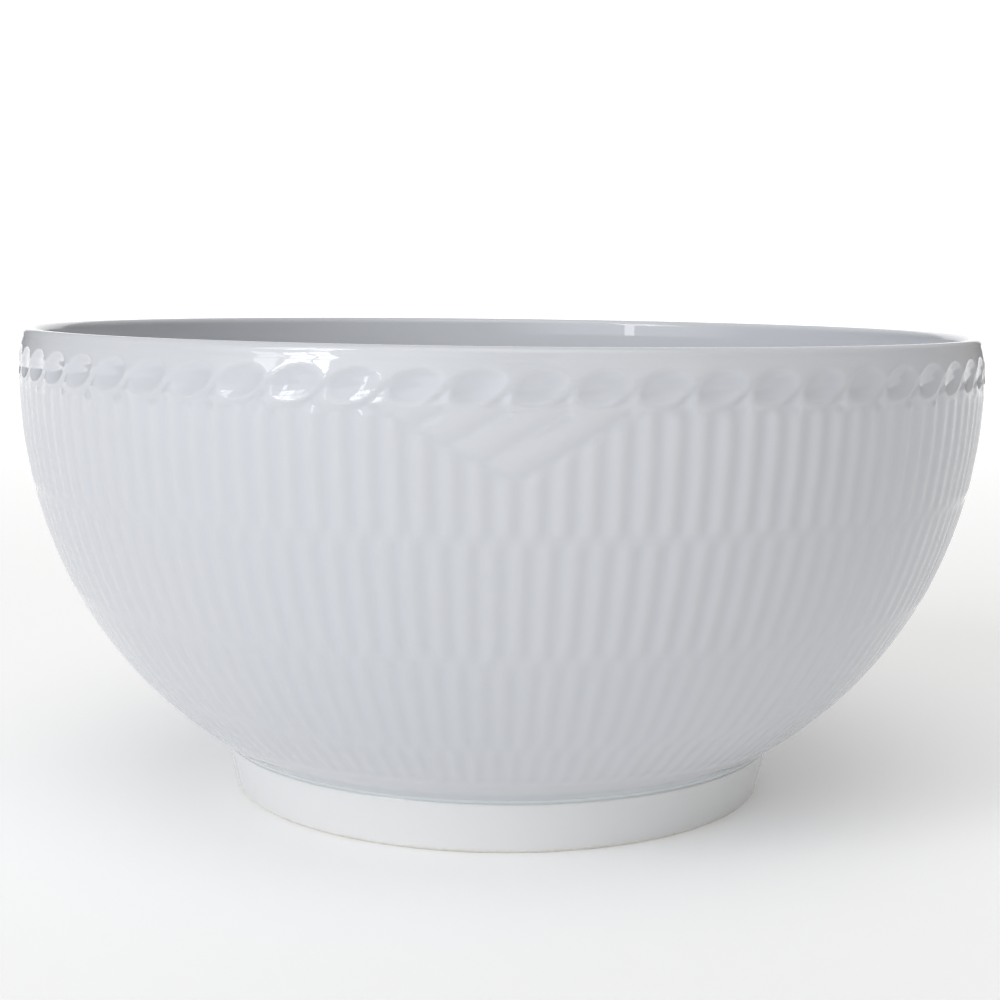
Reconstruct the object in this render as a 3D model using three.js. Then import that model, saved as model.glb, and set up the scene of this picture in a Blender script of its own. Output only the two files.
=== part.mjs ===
// Porcelain serving bowl with a fluted relief wall, standing on a luted foot ring.
//
// Frame: +Z up along the bowl's axis of symmetry, origin on that axis in the plane the foot
// stands on. All sizes are in millimetres.
//
// The bowl is put together from three shaped pieces of porcelain clay before it is fired:
//   bowl_body   the moulded, fluted bowl with its closed floor
//   foot_ring   the turned ring that the bowl stands on
//   slip_cove   the bead of slip that lutes the ring to the bowl, wiped to a cove
import * as THREE from 'three';

// ---- driving dimensions -------------------------------------------------------------------

const RIM_HEIGHT = 116.6; // from the standing plane to the top of the lip
const BELLY_RADIUS = 120; // widest radius, over the tops of the relief
const BELLY_BELOW_RIM = 7.4; // how far under the lip the wall is widest
const WALL_ROUNDNESS = 2.18; // exponent of the wall's superellipse, 2 would be an ellipse

const WALL_AT_LIP = 4.2; // wall thickness at the belly
const WALL_AT_FOOT = 6.2; // wall thickness where the wall meets the floor
const FLOOR_THICKNESS = 6; // at the bowl's axis
const FLOOR_BLEND = 3; // how softly the inside turns from floor to wall
const LIP_RADIUS = 1.6; // rounding of the lip's edge
const LIP_LEAN = 0.2; // how far the wall leans in for each unit of height above the belly
const PLAIN_BAND = 4.2; // height of the plain band above the chain

const CHAIN_HEIGHT = 7.6; // height of the band of links
const CHAIN_LINKS = 62;
const LINK_DEPTH = 0.8; // how deep each link is dished

const FLUTES = 136; // in each tier round the bowl
const FLUTE_DEPTH = 0.6; // from the top of a rib to the bottom of the groove beside it
const TIER_SHARES = [0.303, 0.303, 0.263, 0.131]; // of the fluted height, from the top down
const TIER_END = 2; // length over which a flute runs out at the end of its tier

const FOOT_RADIUS = 70.5; // outer radius at the top of the foot ring
const FOOT_HEIGHT = 12.4; // height of the foot ring
const FOOT_TAPER = 2.6; // how far the ring's outer face leans in on its way down
const FOOT_EDGE = 1.4; // rounding of the edges of the bearing face
const FOOT_WALL = 8.5; // thickness of the ring at its top
const RECESS_DRAFT = 1.2; // how far the ring's inner face opens on its way down
const UNDERSIDE_SAG = 2.2; // how far the floor's underside bellies down inside the ring

const COVE_REACH = 8.5; // how far the cove reaches out from the foot ring under the wall
const COVE_THICKNESS = 2.2;
const COVE_DIP = 0.7; // depth of the cove's hollow below a straight line
const COVE_FILL = 0.8; // height of slip between the ring's top edge and the wall's curve

const JOINT_GAP = 0.3; // clearance kept between the pieces
const RECESS_INNER_RADIUS = FOOT_RADIUS - FOOT_WALL;

// ---- facets -------------------------------------------------------------------------------

const LIP_SEGMENTS = 2 * CHAIN_LINKS;
const FLUTE_SEGMENTS = 2 * FLUTES;
const INSIDE_SEGMENTS = CHAIN_LINKS;
const FOOT_SEGMENTS = 72;
const INSIDE_STEPS = 11;
const LIP_STEPS = 4;
const COVE_STEPS = 5;
const EDGE_STEPS = 3;

// ---- the wall's outer curve ---------------------------------------------------------------

const BELLY_HEIGHT = RIM_HEIGHT - BELLY_BELOW_RIM;

function superellipse(share) {
  return (1 - Math.abs(share) ** WALL_ROUNDNESS) ** (1 / WALL_ROUNDNESS);
}

// The curve is as deep as it takes to land on the foot ring.
const CURVE_DEPTH = (BELLY_HEIGHT - FOOT_HEIGHT - COVE_FILL) / superellipse(FOOT_RADIUS / BELLY_RADIUS);

// The curve turns into a cone leaning in above the belly.
function wallRadius(z) {
  const over = z - BELLY_HEIGHT;
  if (over > 0) {
    return BELLY_RADIUS - LIP_LEAN * over;
  }
  return BELLY_RADIUS * superellipse(over / CURVE_DEPTH);
}

function wallHeight(radius) {
  return BELLY_HEIGHT - CURVE_DEPTH * superellipse(radius / BELLY_RADIUS);
}

// ---- levels -------------------------------------------------------------------------------

const JOINT_LEVEL = FOOT_HEIGHT + JOINT_GAP;
const UNDERSIDE_LEVEL = JOINT_LEVEL - UNDERSIDE_SAG;
const FLOOR_LEVEL = UNDERSIDE_LEVEL + FLOOR_THICKNESS;
const CHAIN_TOP = RIM_HEIGHT - PLAIN_BAND;
const CHAIN_BOTTOM = CHAIN_TOP - CHAIN_HEIGHT;

// ---- the cove between the foot ring and the wall ------------------------------------------

const coveFoot = new THREE.Vector2(FOOT_RADIUS, JOINT_LEVEL);
const coveHead = new THREE.Vector2(FOOT_RADIUS + COVE_REACH, wallHeight(FOOT_RADIUS + COVE_REACH));
const coveRun = coveHead.clone().sub(coveFoot).normalize();
const coveInto = new THREE.Vector2(-coveRun.y, coveRun.x);

// The point where a line parallel to the cove, this far into the clay, crosses the joint.
function onJointLevel(depth) {
  return new THREE.Vector2(FOOT_RADIUS - depth / coveRun.y, JOINT_LEVEL);
}

// ---- bowl_body: rings of vertices, each joined to the next --------------------------------

function ring(count, z, radiusAt) {
  const points = [];
  for (let i = 0; i < count; i++) {
    const turn = (2 * Math.PI * i) / count;
    const radius = radiusAt(i);
    points.push(new THREE.Vector3(radius * Math.cos(turn), radius * Math.sin(turn), z));
  }
  return points;
}

function plainRing(count, radius, z) {
  return ring(count, z, () => radius);
}

function pole(z) {
  return [new THREE.Vector3(0, 0, z)];
}

// Flutes of one tier: ribs on the even points, or on the odd ones where the tier is staggered.
function flutedRing(z, staggered) {
  const rib = wallRadius(z);
  return ring(FLUTE_SEGMENTS, z, (i) => ((i + staggered) % 2 ? rib - FLUTE_DEPTH : rib));
}

function chainRing(z) {
  const ridge = wallRadius(z);
  return ring(LIP_SEGMENTS, z, (i) => (i % 2 ? ridge - LINK_DEPTH : ridge));
}

function undersideRings() {
  const seat = onJointLevel(COVE_THICKNESS + JOINT_GAP);
  const ledge = coveHead
    .clone()
    .addScaledVector(coveRun, JOINT_GAP)
    .addScaledVector(coveInto, COVE_THICKNESS + JOINT_GAP);
  const halfway = RECESS_INNER_RADIUS / 2;
  return [
    pole(UNDERSIDE_LEVEL),
    plainRing(INSIDE_SEGMENTS, halfway, UNDERSIDE_LEVEL + UNDERSIDE_SAG / 4),
    plainRing(INSIDE_SEGMENTS, RECESS_INNER_RADIUS, JOINT_LEVEL),
    plainRing(LIP_SEGMENTS, seat.x, seat.y),
    plainRing(LIP_SEGMENTS, ledge.x, ledge.y),
  ];
}

// The tiers lie between the cove and the chain, each with a smooth line at its two ends.
function fluteRings() {
  const bottom = coveHead.y + JOINT_GAP;
  const height = CHAIN_BOTTOM - bottom;
  const rings = [plainRing(LIP_SEGMENTS, wallRadius(bottom), bottom)];
  let from = bottom;
  for (let tier = TIER_SHARES.length - 1; tier >= 0; tier--) {
    const to = from + height * TIER_SHARES[tier];
    rings.push(flutedRing(from + TIER_END, tier % 2));
    if (tier < TIER_SHARES.length - 1) {
      rings.push(flutedRing((from + to) / 2, tier % 2));
    }
    rings.push(flutedRing(to - TIER_END, tier % 2));
    rings.push(plainRing(FLUTES, wallRadius(to) - FLUTE_DEPTH / 2, to));
    from = to;
  }
  return rings;
}

function lipRings() {
  const shoulder = RIM_HEIGHT - LIP_RADIUS;
  const outer = wallRadius(shoulder);
  const rings = [
    chainRing((CHAIN_BOTTOM + CHAIN_TOP) / 2),
    plainRing(LIP_SEGMENTS, wallRadius(CHAIN_TOP), CHAIN_TOP),
  ];
  for (let step = 0; step <= LIP_STEPS; step++) {
    const turn = (Math.PI * step) / LIP_STEPS;
    const radius = outer - LIP_RADIUS + LIP_RADIUS * Math.cos(turn);
    rings.push(plainRing(LIP_SEGMENTS, radius, shoulder + LIP_RADIUS * Math.sin(turn)));
  }
  return rings;
}

// A point of the inside: the wall's curve moved in by the wall, eased into the flat floor.
function insidePoint(angle) {
  const out = Math.sin(angle) ** (2 / WALL_ROUNDNESS);
  const down = Math.cos(angle) ** (2 / WALL_ROUNDNESS);
  const normal = new THREE.Vector2(
    out ** (WALL_ROUNDNESS - 1) / BELLY_RADIUS,
    -(down ** (WALL_ROUNDNESS - 1)) / CURVE_DEPTH,
  ).normalize();
  const wall = THREE.MathUtils.lerp(WALL_AT_FOOT, WALL_AT_LIP, Math.sin(angle) ** 2);
  const radius = out * BELLY_RADIUS - wall * normal.x;
  const level = BELLY_HEIGHT - down * CURVE_DEPTH - wall * normal.y;
  const rise = FLOOR_BLEND * Math.log(1 + Math.exp((level - FLOOR_LEVEL) / FLOOR_BLEND));
  return new THREE.Vector2(Math.max(radius, 0), FLOOR_LEVEL + rise);
}

function insideRings() {
  const rings = [];
  for (let step = INSIDE_STEPS; step >= 1; step--) {
    const point = insidePoint((Math.PI / 2) * (step / INSIDE_STEPS));
    rings.push(plainRing(INSIDE_SEGMENTS, point.x, point.y));
  }
  rings.push(pole(insidePoint(0).y));
  return rings;
}

// Joins two neighbouring rings, which may have different counts, with one band of triangles.
function bandBetween(first, second, triangles) {
  let i = 0;
  let j = 0;
  const steps = (points) => (points.length > 1 ? points.length : 0);
  while (i < steps(first) || j < steps(second)) {
    const nextOnFirst = i < steps(first) ? (i + 1) / first.length : Infinity;
    const nextOnSecond = j < steps(second) ? (j + 1) / second.length : Infinity;
    const a = first[i % first.length];
    const b = second[j % second.length];
    if (nextOnFirst <= nextOnSecond) {
      triangles.push(a, first[(i + 1) % first.length], b);
      i += 1;
    } else {
      triangles.push(a, second[(j + 1) % second.length], b);
      j += 1;
    }
  }
}

function solidOfRings(rings) {
  const positions = [];
  const numbered = rings.map((points) =>
    points.map((point) => {
      positions.push(point.x, point.y, point.z);
      return positions.length / 3 - 1;
    }),
  );
  const triangles = [];
  for (let i = 0; i + 1 < numbered.length; i++) {
    bandBetween(numbered[i], numbered[i + 1], triangles);
  }
  const geometry = new THREE.BufferGeometry();
  geometry.setAttribute('position', new THREE.Float32BufferAttribute(positions, 3));
  geometry.setIndex(triangles);
  geometry.computeVertexNormals();
  return geometry;
}

function bowlBody() {
  return solidOfRings([...undersideRings(), ...fluteRings(), ...lipRings(), ...insideRings()]);
}

// ---- foot_ring and slip_cove: closed outlines turned about the axis ------------------------

function turned(outline) {
  const closed = [...outline, outline[0].clone()];
  const geometry = new THREE.LatheGeometry(closed, FOOT_SEGMENTS);
  geometry.rotateX(Math.PI / 2);
  return geometry;
}

// A quarter round from one point to another, bulging towards the corner between them.
function quarterRound(from, to, corner) {
  const points = [];
  for (let step = 0; step <= EDGE_STEPS; step++) {
    const turn = (Math.PI / 2) * (step / EDGE_STEPS);
    const point = from.clone().add(to).sub(corner);
    point.addScaledVector(corner.clone().sub(to), Math.cos(turn));
    point.addScaledVector(corner.clone().sub(from), Math.sin(turn));
    points.push(point);
  }
  return points;
}

function footRing() {
  const outer = FOOT_RADIUS - FOOT_TAPER;
  const inner = RECESS_INNER_RADIUS + RECESS_DRAFT;
  const outerEdge = quarterRound(
    new THREE.Vector2(outer - FOOT_EDGE, 0),
    new THREE.Vector2(outer, FOOT_EDGE),
    new THREE.Vector2(outer, 0),
  );
  const innerEdge = quarterRound(
    new THREE.Vector2(inner, FOOT_EDGE),
    new THREE.Vector2(inner + FOOT_EDGE, 0),
    new THREE.Vector2(inner, 0),
  );
  return turned([
    new THREE.Vector2(RECESS_INNER_RADIUS, FOOT_HEIGHT),
    ...innerEdge,
    ...outerEdge,
    new THREE.Vector2(FOOT_RADIUS, FOOT_HEIGHT),
  ]);
}

function slipCove() {
  const middle = coveFoot.clone().lerp(coveHead, 0.5).addScaledVector(coveInto, 2 * COVE_DIP);
  const hollow = new THREE.QuadraticBezierCurve(coveFoot, middle, coveHead);
  return turned([
    ...hollow.getPoints(COVE_STEPS),
    coveHead.clone().addScaledVector(coveInto, COVE_THICKNESS),
    onJointLevel(COVE_THICKNESS),
  ]);
}

// ---- the assembly -------------------------------------------------------------------------

function porcelain(color, roughness) {
  return new THREE.MeshStandardMaterial({ color, roughness, metalness: 0 });
}

function piece(name, geometry, material) {
  const mesh = new THREE.Mesh(geometry, material);
  mesh.name = name;
  return mesh;
}

const bowl = new THREE.Group();
bowl.add(
  piece('bowl_body', bowlBody(), porcelain('#d9dce2', 0.12)),
  piece('foot_ring', footRing(), porcelain('#e4e5e6', 0.2)),
  piece('slip_cove', slipCove(), porcelain('#cfd7dd', 0.15)),
);

export default bowl;
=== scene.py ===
"""Porcelain serving bowl: the fluted relief bowl, its foot ring and the slip cove between them.

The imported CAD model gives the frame. The three CAD solids are replaced by finer meshes of the
same outline, because the pressed relief (flutes, chain links and pendants) is far finer than
facets allow. Everything is in metres, with +Z up the bowl's axis and the standing plane at 0.
"""

import math

import bpy
import numpy as np
from mathutils import Matrix, Vector


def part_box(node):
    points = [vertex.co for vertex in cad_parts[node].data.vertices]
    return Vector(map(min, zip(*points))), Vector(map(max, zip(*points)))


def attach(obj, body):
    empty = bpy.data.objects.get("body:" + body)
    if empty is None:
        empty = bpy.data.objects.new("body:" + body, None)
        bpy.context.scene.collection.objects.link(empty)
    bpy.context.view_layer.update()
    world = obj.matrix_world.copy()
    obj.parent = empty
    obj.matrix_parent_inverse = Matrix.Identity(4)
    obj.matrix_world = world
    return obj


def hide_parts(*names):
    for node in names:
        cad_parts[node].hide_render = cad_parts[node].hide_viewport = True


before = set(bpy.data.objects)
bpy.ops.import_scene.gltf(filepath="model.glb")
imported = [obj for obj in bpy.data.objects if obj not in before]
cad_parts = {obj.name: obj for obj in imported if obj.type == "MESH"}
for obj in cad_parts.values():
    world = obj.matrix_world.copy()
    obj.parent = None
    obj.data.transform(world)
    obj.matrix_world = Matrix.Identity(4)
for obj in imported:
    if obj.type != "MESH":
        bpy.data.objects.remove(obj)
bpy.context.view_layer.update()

MM = 0.001
TURN = 2 * math.pi

# ---- sizes ------------------------------------------------------------------------------
# The first block comes from the frame. The second repeats the CAD's own driving sizes, but
# for its last two lines, which set how the lip leans in.

BODY_LOW, BODY_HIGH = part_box("bowl_body")
FOOT_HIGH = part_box("foot_ring")[1]
COVE_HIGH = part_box("slip_cove")[1]
RIM_HEIGHT = BODY_HIGH.z
BELLY_RADIUS = BODY_HIGH.x
FOOT_RADIUS = FOOT_HIGH.x
FOOT_HEIGHT = FOOT_HIGH.z
COVE_RADIUS = COVE_HIGH.x
UNDERSIDE_LEVEL = BODY_LOW.z

BELLY_BELOW_RIM = 7.4 * MM
WALL_ROUNDNESS = 2.18
WALL_AT_LIP = 4.2 * MM
WALL_AT_FOOT = 6.2 * MM
FLOOR_THICKNESS = 6 * MM
FLOOR_BLEND = 3 * MM
LIP_RADIUS = 1.6 * MM
PLAIN_BAND = 4.2 * MM
CHAIN_HEIGHT = 7.6 * MM
CHAIN_LINKS = 62
FLUTES = 136
TIER_SHARES = (0.303, 0.303, 0.263, 0.131)
FOOT_TAPER = 2.6 * MM
FOOT_EDGE = 1.4 * MM
FOOT_WALL = 8.5 * MM
RECESS_DRAFT = 1.2 * MM
COVE_DIP = 0.7 * MM
COVE_FILL = 0.8 * MM
JOINT_GAP = 0.3 * MM
LIP_LEAN = 0.23
LEAN_BLEND = 0.8 * MM

BELLY_HEIGHT = RIM_HEIGHT - BELLY_BELOW_RIM
CHAIN_TOP = RIM_HEIGHT - PLAIN_BAND
CHAIN_BOTTOM = CHAIN_TOP - CHAIN_HEIGHT
JOINT_LEVEL = FOOT_HEIGHT + JOINT_GAP
FLOOR_LEVEL = UNDERSIDE_LEVEL + FLOOR_THICKNESS
RECESS_RADIUS = FOOT_RADIUS - FOOT_WALL
LINK_PITCH = TURN * BELLY_RADIUS / CHAIN_LINKS

# ---- the wall's outer curve -------------------------------------------------------------


def superellipse(share):
    """The curve's height over its middle, both axes running from 0 to 1."""
    return (1 - abs(share) ** WALL_ROUNDNESS) ** (1 / WALL_ROUNDNESS)


CURVE_DEPTH = (BELLY_HEIGHT - FOOT_HEIGHT - COVE_FILL) / superellipse(FOOT_RADIUS / BELLY_RADIUS)


def wall_radius(z):
    """Radius of the wall's outer curve, which leans in above the belly."""
    over = z - BELLY_HEIGHT
    if over < 0:
        return BELLY_RADIUS * superellipse(over / CURVE_DEPTH)
    return BELLY_RADIUS - LIP_LEAN * (math.hypot(over, LEAN_BLEND) - LEAN_BLEND)


def wall_height(radius):
    """Level at which the wall under the belly has a radius."""
    return BELLY_HEIGHT - CURVE_DEPTH * superellipse(radius / BELLY_RADIUS)


COVE_TOP = wall_height(COVE_RADIUS)

# ---- pressed relief ---------------------------------------------------------------------
# Angles run round the bowl from the front (-Y), rising to the right as seen from outside.
# A relief function gives how far the surface lies under the wall's outer curve, in metres.

GROOVE_DEPTH = 0.34 * MM
FIRST_RIB = math.radians(0.60)
TIER_GAP = 0.1 * MM
RIB_END = 1.4 * MM
TIER_LINE_LIFT = 0.45
TIER_LINE_REACH = 1.2 * MM
TIER_STRENGTH = (0.93, 0.78, 0.6, 0.7)
GROOVE_FADE = 1.5 * MM

FIRST_LINK = math.radians(3.6)
LINK_DEPTH = 0.8 * MM
LINK_LENGTH = 5.9 * MM
LINK_BREADTH = 3.4 * MM
LINK_TILT = math.radians(13)
LINK_RAISE = 0.3 * MM
LINK_EDGE = 0.045
WAVE_CREST = 0.8
SCALLOP_SHIFT = 0.06
SCALLOP_LOW = -4.9 * MM
SCALLOP_RISE = 2.3 * MM
SCALLOP_EDGE = 0.7 * MM
DISH_ROUNDNESS = 0.85
TROUGH_START = (1.2 * MM, -5.4 * MM)
TROUGH_END = (7.0 * MM, 0.6 * MM)
TROUGH_DEPTH = 0.75 * MM
TROUGH_WIDTH = 0.85 * MM
TROUGH_FADE = 0.65

PENDANTS = 4
PENDANT_AT = math.radians(1.6)
PENDANT_DROP = 13.6 * MM
PENDANT_LEFT_SLOPE = 0.5
PENDANT_RIGHT_SLOPE = 0.6
PENDANT_SOFTNESS = 0.8 * MM
PENDANT_EDGE = (-0.7 * MM, 0.5 * MM)
RIBS_RETURN = (0.2 * MM, 2.2 * MM)
STRAND_VALLEY = 0.3 * MM
STRAND_ROUNDNESS = 0.8

# how far past each feature's nominal edge its relief still reaches
RELIEF_ABOVE_CHAIN = 1.5 * MM
BELOW_CHAIN = 4 * MM
BELOW_PENDANT = 3 * MM


def smooth(x, low, high):
    """0 below low, 1 above high, with an even slope between them."""
    t = np.clip((x - low) / (high - low), 0, 1)
    return t * t * (3 - 2 * t)


def wrapped(angle, first, count):
    """The angle from the nearest of count marks round the bowl, the first of them at first."""
    turns = (angle - first) * count / TURN
    return (turns - np.round(turns)) * TURN / count


def tier_levels():
    """(bottom, top) of each tier of flutes, from the top down."""
    bottom = COVE_TOP + JOINT_GAP
    height = CHAIN_BOTTOM - bottom
    levels, top = [], CHAIN_BOTTOM
    for share in TIER_SHARES:
        levels.append((top - share * height, top))
        top -= share * height
    return levels


TIERS = tier_levels()


def meridian_stretch(z):
    """Length along the wall for each unit of height."""
    step = 0.1 * MM
    slope = (wall_radius(z + step) - wall_radius(z - step)) / (2 * step)
    return math.sqrt(1 + slope * slope)


def rib_rise(angle, z):
    """0 in a groove, 1 on top of a rib. Ribs are half-round with rounded ends."""
    rise = np.zeros_like(angle)
    radius = wall_radius(z)
    half = math.pi * radius / FLUTES
    for number, (bottom, top) in enumerate(TIERS):
        middle, reach = (bottom + top) / 2, (top - bottom) / 2 - TIER_GAP
        beyond = max(0.0, (abs(z - middle) - reach) * meridian_stretch(z) + RIB_END)
        if beyond >= RIB_END:
            continue
        first = FIRST_RIB + (number % 2) * math.pi / FLUTES
        across = wrapped(angle, first, FLUTES) * radius
        from_line = np.minimum(np.hypot(across / half, beyond / RIB_END), 1)
        rise = np.maximum(rise, TIER_STRENGTH[number] * (0.5 + 0.5 * np.cos(math.pi * from_line)))
    return rise


def groove_floor(z):
    """Depth of the grooves, shallower where two tiers meet."""
    lift = sum(math.exp(-(((z - bottom) / TIER_LINE_REACH) ** 2)) for bottom, top in TIERS[:-1])
    fade = float(smooth(z, COVE_TOP, COVE_TOP + GROOVE_FADE))
    return GROOVE_DEPTH * (1 - TIER_LINE_LIFT * lift) * fade


def pendant_inside(x, y):
    """How far a point is inside the nearest pendant, in metres; negative outside. y is up
    from the chain's lower edge and x to the right of the pendant's tip."""
    tip_y = -PENDANT_DROP
    left = (y - tip_y + PENDANT_LEFT_SLOPE * x) / math.hypot(1, PENDANT_LEFT_SLOPE)
    right = (y - tip_y - PENDANT_RIGHT_SLOPE * x) / math.hypot(1, PENDANT_RIGHT_SLOPE)
    reach = np.exp(-left / PENDANT_SOFTNESS) + np.exp(-right / PENDANT_SOFTNESS)
    return -PENDANT_SOFTNESS * np.log(reach)


def strand_sink(x, y):
    """Depth of the valleys between a pendant's slanting strands."""
    share = (x - (y + PENDANT_DROP) / PENDANT_RIGHT_SLOPE) / LINK_PITCH
    from_crest = 2 * np.abs(share - np.floor(share) - 0.5)
    return STRAND_VALLEY * (1 - (1 - from_crest**2) ** STRAND_ROUNDNESS)


def slanting_wave(share):
    """Rises evenly from 0 to 1 over most of each turn, then drops back over the rest."""
    share = share - np.floor(share)
    drop = 0.5 + 0.5 * np.cos(math.pi * (share - WAVE_CREST) / (1 - WAVE_CREST))
    return np.where(share < WAVE_CREST, share / WAVE_CREST, drop)


def link_sink(x, y):
    """Depth of a chain link's dish, x and y from the link's middle."""
    turn_x = math.cos(LINK_TILT) * x + math.sin(LINK_TILT) * (y - LINK_RAISE)
    turn_y = -math.sin(LINK_TILT) * x + math.cos(LINK_TILT) * (y - LINK_RAISE)
    out = np.hypot(turn_x / LINK_LENGTH, turn_y / LINK_BREADTH)
    inside = LINK_EDGE * np.logaddexp(0, (1 - out**2) / LINK_EDGE)
    return LINK_DEPTH * inside**DISH_ROUNDNESS


def trough_sink(x, y):
    """Depth of the slanting trough under a link's lower right rim, x and y as in link_sink."""
    run = TROUGH_END[0] - TROUGH_START[0]
    rise = TROUGH_END[1] - TROUGH_START[1]
    from_x, from_y = x - TROUGH_START[0], y - TROUGH_START[1]
    share = np.clip((from_x * run + from_y * rise) / (run * run + rise * rise), 0, 1)
    away = np.hypot(from_x - share * run, from_y - share * rise)
    return TROUGH_DEPTH * (1 - TROUGH_FADE * share) * np.exp(-((away / TROUGH_WIDTH) ** 2))


def relief(angle, z):
    """How far the pressed surface lies under the wall's outer curve, in metres."""
    if z > CHAIN_TOP + RELIEF_ABOVE_CHAIN or z < COVE_TOP:
        return np.zeros_like(angle)
    ground = groove_floor(z)
    sink = ground * (1 - rib_rise(angle, z))
    if z < CHAIN_BOTTOM - PENDANT_DROP - BELOW_PENDANT:
        return sink
    x_pendant = wrapped(angle, PENDANT_AT, PENDANTS) * BELLY_RADIUS
    inside = pendant_inside(x_pendant, z - CHAIN_BOTTOM)
    open_ribs = smooth(-inside, *RIBS_RETURN)
    sink = ground - (ground - sink) * open_ribs
    in_pendant = smooth(inside, *PENDANT_EDGE)
    sink = sink + (strand_sink(x_pendant, z - CHAIN_BOTTOM) - sink) * in_pendant
    if z < CHAIN_BOTTOM - BELOW_CHAIN:
        return sink
    y = z - (CHAIN_BOTTOM + CHAIN_TOP) / 2
    x_link = wrapped(angle, FIRST_LINK, CHAIN_LINKS) * BELLY_RADIUS
    wave = slanting_wave(x_link / LINK_PITCH + 0.5 - SCALLOP_SHIFT)
    chain = smooth(y - SCALLOP_LOW - SCALLOP_RISE * wave, -SCALLOP_EDGE, SCALLOP_EDGE)
    dish = np.zeros_like(angle)
    for shift in (-LINK_PITCH, 0, LINK_PITCH):
        dish = np.maximum(dish, link_sink(x_link - shift, y))
        dish = np.maximum(dish, trough_sink(x_link - shift, y))
    return sink * (1 - chain) + dish * chain


# ---- mesh helpers -----------------------------------------------------------------------

SAME_ANGLE = 1e-9


class Shell:
    """A closed skin of rings round the +Z axis, stitched one to the next."""

    def __init__(self):
        self.points, self.faces, self.pools, self.count = [], [], [], 0
        self.marks = []

    def ring(self, radius, z, number, first=0.0, pool=0.0):
        """A ring of points; radius, z and pool are numbers or one value for each point."""
        angle = first + np.arange(number) * TURN / number
        radius = np.broadcast_to(radius, (number,))
        height = np.broadcast_to(z, (number,))
        self.points.append(np.stack([radius * np.sin(angle), -radius * np.cos(angle), height], 1))
        self.pools.append(np.broadcast_to(pool, (number,)))
        start = self.count
        self.count += number
        return start, number, first

    def tip(self, z):
        """One point on the axis."""
        self.points.append(np.array([[0.0, 0.0, z]]))
        self.pools.append(np.zeros(1))
        self.count += 1
        return self.count - 1

    def join(self, low, high, mark=0):
        """Faces between two rings, the outside facing away from the axis when low is below."""
        (a, n, first_a), (b, m, first_b) = low, high
        before = len(self.faces)
        if n == m and abs(first_a - first_b) < SAME_ANGLE:
            for i in range(n):
                j = (i + 1) % n
                self.faces.append((a + i, a + j, b + j, b + i))
        else:
            i = j = 0
            while i < n or j < m:
                next_a = first_a + (i + 1) * TURN / n
                next_b = first_b + (j + 1) * TURN / m
                if j >= m or (i < n and next_a <= next_b):
                    self.faces.append((a + i % n, a + (i + 1) % n, b + j % m))
                    i += 1
                else:
                    self.faces.append((a + i % n, b + (j + 1) % m, b + j % m))
                    j += 1
        self.marks += [mark] * (len(self.faces) - before)

    def cap(self, tip, ring, up):
        """A fan from a point on the axis to a ring."""
        start, number, _ = ring
        for i in range(number):
            a, b = start + i, start + (i + 1) % number
            self.faces.append((a, b, tip) if up else (b, a, tip))
            self.marks.append(0)

    def stack(self, rings):
        """Faces through a list of rings, each joined to the next."""
        for low, high in zip(rings, rings[1:]):
            self.join(low, high)

    def build(self, name, materials):
        """The skin as a Blender object, with the glaze's depth as its attribute "pool"."""
        mesh = bpy.data.meshes.new(name)
        mesh.from_pydata(np.concatenate(self.points).tolist(), [], self.faces)
        for material in materials:
            mesh.materials.append(material)
        mesh.polygons.foreach_set("material_index", self.marks)
        mesh.polygons.foreach_set("use_smooth", [True] * len(self.faces))
        pool = mesh.attributes.new("pool", "FLOAT", "POINT")
        pool.data.foreach_set("value", np.concatenate(self.pools))
        mesh.update()
        piece = bpy.data.objects.new(name, mesh)
        bpy.context.scene.collection.objects.link(piece)
        return piece


def spaced(low, high, step):
    """Levels from low up to but not including high, about a step apart."""
    number = max(1, round((high - low) / step))
    return [low + (high - low) * i / number for i in range(number)]


# ---- the bowl body ----------------------------------------------------------------------

# points round each part of the bowl
SIDE_COLUMNS = FLUTES * 8
LOW_COLUMNS = FLUTES * 6
LOW_COLUMNS_UP_TO = TIERS[2][1]
CHAIN_COLUMNS = CHAIN_LINKS * 16
LIP_COLUMNS = CHAIN_LINKS * 8
INSIDE_COLUMNS = CHAIN_LINKS * 4
FOOT_COLUMNS = FLUTES * 2
# spacing of the rows up the wall, and how far each spacing reaches
END_ROWS_REACH = (3.6 * MM, 3.6 * MM, 3.6 * MM, 3.0 * MM)
END_ROWS = 0.8 * MM
LONG_ROWS = 6 * MM
PENDANT_ROWS = 0.78 * MM
PENDANT_ROWS_BELOW = 1.5 * MM
CHAIN_ROWS = 0.5 * MM
CHAIN_ROWS_ABOVE = 0.4 * MM
BAND_ROWS = 0.6 * MM
BAND_ROWS_FROM = 0.9 * MM
BAND_ROWS_SHORT = 0.3 * MM
LIP_STEPS = 10
INSIDE_STEPS = 60
INSIDE_FROM = 0.35
INSIDE_BELOW_LIP = 1 * MM
FLOOR_RINGS = ((0.2, CHAIN_LINKS * 2), (0.08, CHAIN_LINKS))
# small steps that set the hidden underside between the foot ring and the cove
SEAT_DROP = 0.2 * MM
SEAT_SHORT = 0.5 * MM
RECESS_SHORT = 0.3 * MM
COVE_TUCK_IN = 0.4 * MM
COVE_TUCK_DOWN = 0.35 * MM


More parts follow.
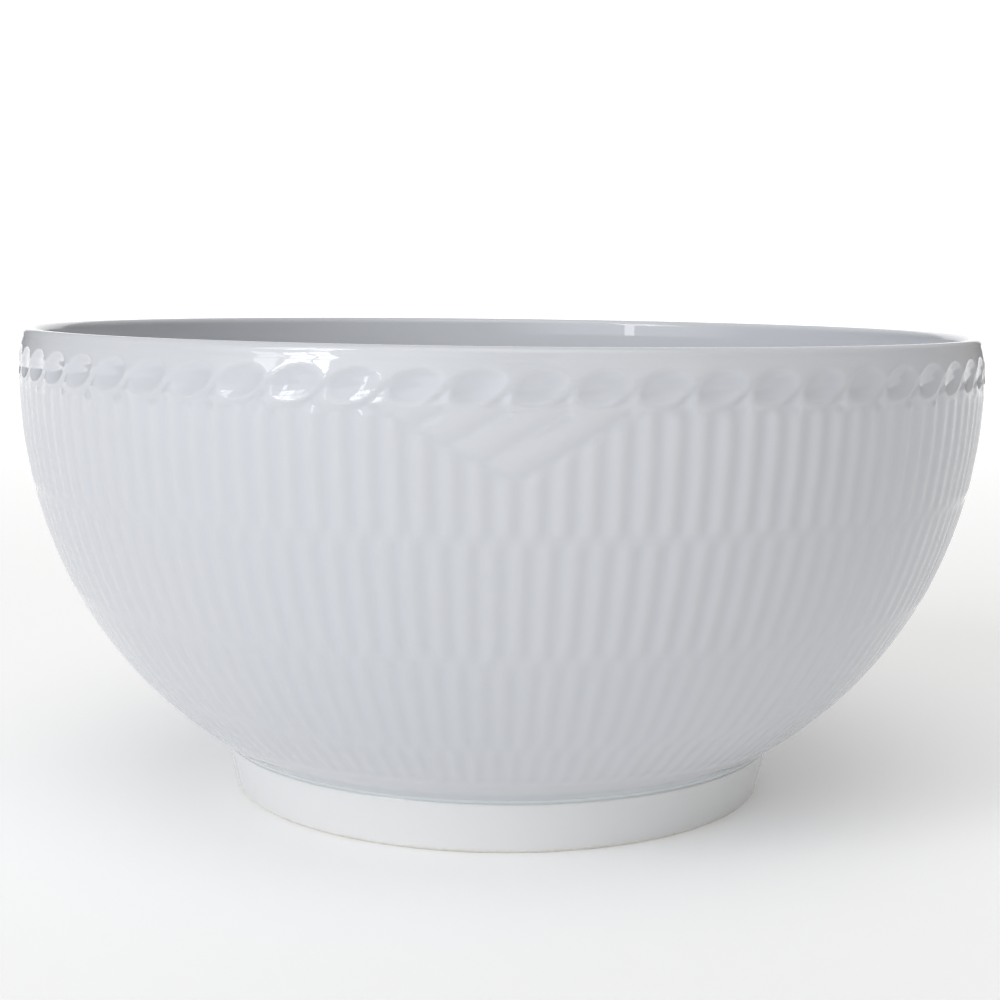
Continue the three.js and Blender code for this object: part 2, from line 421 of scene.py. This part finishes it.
def row_levels():
    """Rising levels for the rings of the fluted wall; close together where ribs end."""
    levels = []
    for number, (bottom, top) in reversed(list(enumerate(TIERS))):
        end = END_ROWS_REACH[number]
        if number == 0:
            levels += spaced(bottom, bottom + end, END_ROWS)
            low = CHAIN_BOTTOM - PENDANT_DROP - PENDANT_ROWS_BELOW
            levels += spaced(bottom + end, low, LONG_ROWS)
            levels += spaced(low, top, PENDANT_ROWS)
        else:
            levels += spaced(bottom, bottom + end, END_ROWS)
            levels += spaced(bottom + end, top - end, LONG_ROWS)
            levels += spaced(top - end, top, END_ROWS)
    return levels


# three faint waves: their size, turns round the bowl, radians a metre up it, and start
UNEVEN = 0.016 * MM
UNEVEN_TURNS = (37, 61, 23)
UNEVEN_RISE = (330.0, -450.0, 520.0)
UNEVEN_START = (0.4, 2.1, 4.4)


def uneven(angle, z):
    """The faint unevenness of hand-finished clay, as a change of radius."""
    total = np.zeros_like(angle)
    for turns, rise, start in zip(UNEVEN_TURNS, UNEVEN_RISE, UNEVEN_START):
        total += np.sin(turns * angle + rise * z + start)
    return UNEVEN * total


def side_ring(shell, z, number, first=0.0):
    """A ring of the outer wall with its relief and the glaze's depth over it."""
    angle = first + np.arange(number) * TURN / number
    sink = relief(angle, z)
    radius = wall_radius(z) - sink + uneven(angle, z)
    return shell.ring(radius, z, number, first, sink / GROOVE_DEPTH)


def inner_curve(outer_z):
    """The point inside the wall across from the outer curve's level outer_z."""
    step = 0.05 * MM
    slope = (wall_radius(outer_z + step) - wall_radius(outer_z - step)) / (2 * step)
    length = math.hypot(1, slope)
    upright = 1 / length**2
    thick = WALL_AT_FOOT + (WALL_AT_LIP - WALL_AT_FOOT) * upright
    radius = wall_radius(outer_z) - thick / length
    level = outer_z + slope / length * thick
    level = FLOOR_LEVEL + FLOOR_BLEND * math.log1p(math.exp((level - FLOOR_LEVEL) / FLOOR_BLEND))
    return radius, level


def bowl_shell():
    """The pressed shell: underside, fluted wall, chain band, lip, inside and floor."""
    shell = Shell()
    tip = shell.tip(UNDERSIDE_LEVEL)
    seat_level = JOINT_LEVEL - SEAT_DROP
    under = [
        shell.ring(RECESS_RADIUS / 2, UNDERSIDE_LEVEL, FLUTES),
        shell.ring(RECESS_RADIUS - RECESS_SHORT, UNDERSIDE_LEVEL, FOOT_COLUMNS),
        shell.ring(RECESS_RADIUS - RECESS_SHORT, seat_level, FOOT_COLUMNS),
        shell.ring(FOOT_RADIUS - SEAT_SHORT, seat_level, FOOT_COLUMNS),
        shell.ring(COVE_RADIUS - COVE_TUCK_IN, COVE_TOP - COVE_TUCK_DOWN, LOW_COLUMNS, FIRST_RIB),
    ]
    shell.cap(tip, under[0], up=False)
    shell.stack(under)
    rows = []
    for z in row_levels():
        number = LOW_COLUMNS if z < LOW_COLUMNS_UP_TO else SIDE_COLUMNS
        rows.append(side_ring(shell, z, number, FIRST_RIB))
    chain_end = CHAIN_TOP + CHAIN_ROWS_ABOVE
    for z in spaced(CHAIN_BOTTOM, chain_end, CHAIN_ROWS) + [chain_end]:
        rows.append(side_ring(shell, z, CHAIN_COLUMNS, FIRST_LINK))
    shell.stack([under[-1]] + rows)
    # the lip: a straight outer face leaning in, then half round
    middle_level = RIM_HEIGHT - LIP_RADIUS
    middle_radius = wall_radius(middle_level) - LIP_RADIUS
    lip = []
    for z in spaced(CHAIN_TOP + BAND_ROWS_FROM, middle_level - BAND_ROWS_SHORT, BAND_ROWS):
        lip.append(side_ring(shell, z, LIP_COLUMNS))
    lean = math.atan(LIP_LEAN)
    for step in range(LIP_STEPS + 1):
        turn = -lean + (math.pi + lean) * step / LIP_STEPS
        radius = middle_radius + LIP_RADIUS * math.cos(turn)
        lip.append(shell.ring(radius, middle_level + LIP_RADIUS * math.sin(turn), LIP_COLUMNS))
    shell.stack([rows[-1]] + lip)
    inside = []
    lowest = wall_height(BELLY_RADIUS * INSIDE_FROM)
    for step in range(INSIDE_STEPS + 1):
        turn = step / INSIDE_STEPS * math.pi / 2
        outer_z = BELLY_HEIGHT - (BELLY_HEIGHT - lowest) * math.sin(turn)
        radius, level = inner_curve(outer_z)
        if level < middle_level - INSIDE_BELOW_LIP:
            inside.append(shell.ring(radius, level, INSIDE_COLUMNS))
    floor = []
    for share, number in FLOOR_RINGS:
        floor.append(shell.ring(BELLY_RADIUS * share, FLOOR_LEVEL, number))
    shell.stack([lip[-1]] + inside + floor)
    shell.cap(shell.tip(FLOOR_LEVEL), floor[-1], up=True)
    return shell


# ---- the foot ring and the cove ---------------------------------------------------------
# The cove's hidden edges reach a little behind the foot ring and the bowl's wall.

FOOT_OVER = 0.05 * MM
EDGE_STEPS = 6
EDGE_RUNOUT = 1.3
COVE_STEPS = 12
COVE_LAP = 0.1 * MM
COVE_TOP_LAP = 0.25 * MM
COVE_THICK = 1.2 * MM
COVE_FOOT_STEP = 0.3 * MM
COVE_TOP_STEP = 0.2 * MM
COVE_POOL_FADE = 0.6
# the foot ring's two finishes, as places in its list of materials
GLAZED, BARE = 0, 1


def foot_shell():
    """The foot ring, its bearing edge marked for the unglazed finish."""
    shell = Shell()
    edge = FOOT_EDGE
    outer = FOOT_RADIUS - FOOT_TAPER
    inner = RECESS_RADIUS + RECESS_DRAFT
    top = FOOT_HEIGHT + FOOT_OVER
    rings, marks = [], []

    def add(radius, z, mark):
        rings.append(shell.ring(radius, z, FOOT_COLUMNS))
        marks.append(mark)

    add(RECESS_RADIUS, top, GLAZED)
    for share in (0.2, 0.5, 0.8):
        fall = (top - edge * EDGE_RUNOUT) * share
        add(RECESS_RADIUS + RECESS_DRAFT * share, top - fall, GLAZED)
    for step in range(EDGE_STEPS + 1):
        turn = math.pi / 2 * step / EDGE_STEPS
        finish = BARE if step > 1 else GLAZED
        add(inner + edge * (1 - math.cos(turn)), edge * (1 - math.sin(turn)), finish)
    for step in range(EDGE_STEPS + 1):
        turn = math.pi / 2 * step / EDGE_STEPS
        finish = BARE if step < EDGE_STEPS - 1 else GLAZED
        add(outer - edge * (1 - math.sin(turn)), edge * (1 - math.cos(turn)), finish)
    for share in (0.25, 0.5, 0.75, 0.95):
        add(outer + FOOT_TAPER * share, edge + (FOOT_HEIGHT - edge) * share, GLAZED)
    add(FOOT_RADIUS, top, GLAZED)
    for low, high, mark in zip(rings, rings[1:] + rings[:1], marks):
        shell.join(low, high, mark)
    return shell


def cove_shell():
    """The bead of slip wiped to a hollow curve from the foot up to the lowest flutes."""
    shell = Shell()
    low_radius, low_z = FOOT_RADIUS - COVE_LAP, FOOT_HEIGHT - COVE_LAP
    high_radius, high_z = COVE_RADIUS, COVE_TOP + COVE_TOP_LAP
    hidden_z = JOINT_LEVEL + COVE_FOOT_STEP
    rings = [shell.ring(FOOT_RADIUS - COVE_THICK, hidden_z, FOOT_COLUMNS, 0, 1.0)]
    run, rise = high_radius - low_radius, high_z - low_z
    length = math.hypot(run, rise)
    for step in range(COVE_STEPS + 1):
        share = step / COVE_STEPS
        dip = COVE_DIP * math.sin(math.pi * share)
        radius = low_radius + run * share - dip * rise / length
        z = low_z + rise * share + dip * run / length
        pool = 1.0 - COVE_POOL_FADE * abs(2 * share - 1)
        rings.append(shell.ring(radius, z, FOOT_COLUMNS, 0, pool))
    hidden_z = high_z + COVE_TOP_STEP
    rings.append(shell.ring(high_radius - COVE_THICK, hidden_z, FOOT_COLUMNS, 0, 1.0))
    for low, high in zip(rings, rings[1:] + rings[:1]):
        shell.join(low, high)
    return shell


# ---- materials --------------------------------------------------------------------------


def new_material(name):
    material = bpy.data.materials.new(name)
    material.use_nodes = True
    tree = material.node_tree
    return material, tree, tree.nodes["Principled BSDF"]


def noise(tree, scale, detail=3.0, rough=0.5):
    """Noise in the object's own space, its scale in features a metre."""
    coords = tree.nodes.new("ShaderNodeTexCoord")
    texture = tree.nodes.new("ShaderNodeTexNoise")
    texture.inputs["Scale"].default_value = scale
    texture.inputs["Detail"].default_value = detail
    texture.inputs["Roughness"].default_value = rough
    tree.links.new(coords.outputs["Object"], texture.inputs["Vector"])
    return texture.outputs["Fac"]


def spread(tree, value, low, high, from_low=0.3, from_high=0.7):
    """The value carried from one range to another."""
    node = tree.nodes.new("ShaderNodeMapRange")
    node.inputs["From Min"].default_value = from_low
    node.inputs["From Max"].default_value = from_high
    node.inputs["To Min"].default_value = low
    node.inputs["To Max"].default_value = high
    tree.links.new(value, node.inputs["Value"])
    return node.outputs["Result"]


def mix(tree, factor, first, second):
    """A colour between first and second; each input is a value or a socket."""
    node = tree.nodes.new("ShaderNodeMix")
    node.data_type = "RGBA"
    for value, name in ((factor, "Factor"), (first, "A"), (second, "B")):
        socket = node.inputs[name]
        if isinstance(value, bpy.types.NodeSocket):
            tree.links.new(value, socket)
        else:
            socket.default_value = value
    return node.outputs["Result"]


def ripple(tree, shader, scale, detail, height):
    """Unevenness finer than the mesh, as a bump."""
    bump = tree.nodes.new("ShaderNodeBump")
    bump.inputs["Strength"].default_value = 1.0
    bump.inputs["Distance"].default_value = height
    tree.links.new(noise(tree, scale, detail), bump.inputs["Height"])
    tree.links.new(bump.outputs["Normal"], shader.inputs["Normal"])


GLAZE_IOR = 1.52
GLAZE_ROUGHNESS = (0.024, 0.039)
GLAZE_SMEARS = 60
GLAZE_RIPPLE = 0.012 * MM
GLAZE_RIPPLES = 130
POOL_DEPTHS = (0.0, 1.2)
POOL_TINT = 0.35
WARM_PATCHES = 9
WARM_TINT = (1, 0.995, 0.985)
CLAY_SPECKS = 500
CLAY_DARK = (0.72, 0.70, 0.66, 1)
CLAY_LIGHT = (0.82, 0.81, 0.78, 1)
CLAY_ROUGHNESS = (0.6, 0.85)
CLAY_SMEARS = 300
CLAY_GRAIN = 0.04 * MM
CLAY_GRAINS = 1500


def glazed(name, clear, pooled):
    """Clear glaze over white porcelain, bluer where it pools in the hollows."""
    material, tree, shader = new_material(name)
    pool = tree.nodes.new("ShaderNodeAttribute")
    pool.attribute_name = "pool"
    depth = spread(tree, pool.outputs["Fac"], 0.0, POOL_TINT, *POOL_DEPTHS)
    patches = spread(tree, noise(tree, WARM_PATCHES, 4), 0.0, 1.0)
    warm = [part * tint for part, tint in zip(clear, WARM_TINT)]
    ground = mix(tree, patches, (*clear, 1), (*warm, 1))
    tree.links.new(mix(tree, depth, ground, (*pooled, 1)), shader.inputs["Base Color"])
    rough = spread(tree, noise(tree, GLAZE_SMEARS, 5), *GLAZE_ROUGHNESS)
    tree.links.new(rough, shader.inputs["Roughness"])
    shader.inputs["IOR"].default_value = GLAZE_IOR
    ripple(tree, shader, GLAZE_RIPPLES, 2, GLAZE_RIPPLE)
    return material


def bare_clay(name):
    """Unglazed white porcelain, matt and faintly cream."""
    material, tree, shader = new_material(name)
    speck = spread(tree, noise(tree, CLAY_SPECKS, 4, 0.6), 0.0, 1.0)
    tree.links.new(mix(tree, speck, CLAY_DARK, CLAY_LIGHT), shader.inputs["Base Color"])
    rough = spread(tree, noise(tree, CLAY_SMEARS, 4), *CLAY_ROUGHNESS)
    tree.links.new(rough, shader.inputs["Roughness"])
    ripple(tree, shader, CLAY_GRAINS, 3, CLAY_GRAIN)
    return material


PORCELAIN = glazed("glazed_porcelain", (0.61, 0.625, 0.66), (0.53, 0.55, 0.595))
# painted light: the foot ring's glaze is set lighter than the body's glaze, standing in for the
# light the foot gets from the floor and the low window
LIT_FOOT_GLAZE = glazed("foot_porcelain", (0.785, 0.792, 0.80), (0.70, 0.715, 0.74))
COVE_GLAZE = glazed("cove_glaze", (0.66, 0.705, 0.725), (0.595, 0.655, 0.69))
BARE_CLAY = bare_clay("bare_porcelain")

# ---- pieces -----------------------------------------------------------------------------

PIECES = (
    (bowl_shell(), "bowl", "bowl_body", (PORCELAIN,), "glazed_porcelain"),
    (foot_shell(), "foot", "foot_ring", (LIT_FOOT_GLAZE, BARE_CLAY), "foot_porcelain"),
    (cove_shell(), "cove", "slip_cove", (COVE_GLAZE,), "cove_glaze"),
)
for shell, name, node, materials, slot in PIECES:
    piece = shell.build(name, materials)
    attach(piece, "root")
    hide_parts(node)

# ---- stage, camera and light ------------------------------------------------------------

# the floor's own light in front and far behind, and the depths between which it rises
FLOOR_GLOW = (0.14, 0.62)
FLOOR_GLOW_DEPTHS = (0.0, 2.0)
SKY_BASE = 0.15
SKY_LOBES = (
    # azimuth, elevation, reach of full strength, reach (degrees), colour
    (180, 5, 19, 26, (1.0, 1.0, 1.0)),
    (-36, 8, 0, 41, (1.47, 1.52, 1.6)),
    (-4, 64, 0, 38, (1.72, 1.71, 1.68)),
    (112, 12, 0, 50, (0.2, 0.18, 0.16)),
    (180, 50, 0, 55, (0.5, 0.5, 0.5)),
)
WINDOWS = (
    # name, azimuth, elevation, distance, width, height (metres), columns, rows, radiance
    ("window", -42.5, 28, 1.6, 0.32, 0.85, 2, 3, (7.0, 7.0, 7.0)),
    ("second_window", -52.5, 28, 1.6, 0.2, 0.85, 1, 3, (3.2, 3.2, 3.2)),
    ("gap", -38, 7, 1.6, 0.08, 0.28, 1, 1, (5.0, 5.0, 5.0)),
    ("softbox", 28, 22, 1.6, 0.9, 0.7, 1, 1, (0.36, 0.355, 0.345)),
)
FLOOR_HALF = 6.0
FLOOR_COLOUR = (0.9, 0.9, 0.9, 1)
CAMERA_AT = Vector((0, -0.4542, 0.1294))
CAMERA_LENS = 63.5
SENSOR_WIDTH = 36
PITCH, YAW, ROLL = 0.1249, -0.0002, 0.0120


def white_floor():
    """White paper that glows more with distance behind the bowl, so the backdrop stays white."""
    mesh = bpy.data.meshes.new("floor")
    corners = [(x * FLOOR_HALF, y * FLOOR_HALF, 0) for x, y in ((-1, -1), (1, -1), (1, 1), (-1, 1))]
    mesh.from_pydata(corners, [], [(0, 1, 2, 3)])
    floor = bpy.data.objects.new("floor", mesh)
    bpy.context.scene.collection.objects.link(floor)
    material, tree, shader = new_material("floor_paper")
    shader.inputs["Base Color"].default_value = FLOOR_COLOUR
    shader.inputs["Roughness"].default_value = 1.0
    shader.inputs["Specular IOR Level"].default_value = 0.0
    place = tree.nodes.new("ShaderNodeTexCoord")
    split = tree.nodes.new("ShaderNodeSeparateXYZ")
    tree.links.new(place.outputs["Object"], split.inputs["Vector"])
    glow = spread(tree, split.outputs["Y"], *FLOOR_GLOW, *FLOOR_GLOW_DEPTHS)
    shader.inputs["Emission Color"].default_value = (1, 1, 1, 1)
    tree.links.new(glow, shader.inputs["Emission Strength"])
    mesh.materials.append(material)
    return floor


white_floor()

scene = bpy.context.scene
scene.view_settings.view_transform = "Standard"
scene.view_settings.look = "None"

camera_data = bpy.data.cameras.new("camera")
camera_data.lens = CAMERA_LENS
camera_data.sensor_width = SENSOR_WIDTH
camera = bpy.data.objects.new("camera", camera_data)
scene.collection.objects.link(camera)
level_turn = Vector((math.sin(YAW), math.cos(YAW), 0))
forward = math.cos(PITCH) * level_turn - Vector((0, 0, math.sin(PITCH)))
right = Vector((math.cos(YAW), -math.sin(YAW), 0))
upward = right.cross(forward)
turned_right = math.cos(ROLL) * right + math.sin(ROLL) * upward
turned_up = -math.sin(ROLL) * right + math.cos(ROLL) * upward
turn = Matrix((turned_right, turned_up, -forward)).transposed().to_4x4()
camera.matrix_world = Matrix.Translation(CAMERA_AT) @ turn
scene.camera = camera


def heading(azimuth, elevation):
    """A direction. Azimuth runs from the front (-Y) round to the right."""
    az, el = math.radians(azimuth), math.radians(elevation)
    return Vector((math.sin(az) * math.cos(el), -math.cos(az) * math.cos(el), math.sin(el)))


def sky():
    """A world of soft lobes of light over an even base."""
    world = bpy.data.worlds.new("studio")
    world.use_nodes = True
    tree = world.node_tree
    coords = tree.nodes.new("ShaderNodeTexCoord")
    total = tree.nodes.new("ShaderNodeCombineXYZ")
    for socket in total.inputs:
        socket.default_value = SKY_BASE
    total = total.outputs["Vector"]
    for azimuth, elevation, full, reach, colour in SKY_LOBES:
        near = tree.nodes.new("ShaderNodeVectorMath")
        near.operation = "DOT_PRODUCT"
        near.inputs[1].default_value = heading(azimuth, elevation)
        tree.links.new(coords.outputs["Generated"], near.inputs[0])
        fade = tree.nodes.new("ShaderNodeMapRange")
        fade.interpolation_type = "SMOOTHSTEP"
        fade.inputs["From Min"].default_value = math.cos(math.radians(reach))
        fade.inputs["From Max"].default_value = math.cos(math.radians(full))
        tree.links.new(near.outputs["Value"], fade.inputs["Value"])
        scaled = tree.nodes.new("ShaderNodeVectorMath")
        scaled.operation = "SCALE"
        scaled.inputs[0].default_value = colour
        tree.links.new(fade.outputs["Result"], scaled.inputs["Scale"])
        added = tree.nodes.new("ShaderNodeVectorMath")
        added.operation = "ADD"
        tree.links.new(total, added.inputs[0])
        tree.links.new(scaled.outputs["Vector"], added.inputs[1])
        total = added.outputs["Vector"]
    tree.links.new(total, tree.nodes["Background"].inputs["Color"])
    scene.world = world


PANE_SHARE = 0.88
AIM_HEIGHT = 0.07


def window(name, azimuth, elevation, distance, width, height, columns, rows, colour):
    """Lamps set out as window panes facing the bowl, their colour given as radiance."""
    place = heading(azimuth, elevation) * distance
    facing = (-place).to_track_quat("-Z", "Y")
    strongest = max(colour)
    pane_share = PANE_SHARE if columns * rows > 1 else 1
    pane_width, pane_height = width / columns * pane_share, height / rows * pane_share
    for column in range(columns):
        for row in range(rows):
            lamp = bpy.data.lights.new(name + "_%d_%d" % (column, row), "AREA")
            lamp.shape = "RECTANGLE"
            lamp.size, lamp.size_y = pane_width, pane_height
            lamp.energy = strongest * math.pi * pane_width * pane_height
            lamp.color = [value / strongest for value in colour]
            pane = bpy.data.objects.new(lamp.name, lamp)
            across = ((column + 0.5) / columns - 0.5) * width
            up = ((row + 0.5) / rows - 0.5) * height
            pane.location = Vector((0, 0, AIM_HEIGHT)) + place + facing @ Vector((across, up, 0))
            pane.rotation_euler = facing.to_euler()
            scene.collection.objects.link(pane)


sky()
for lamps in WINDOWS:
    window(*lamps)
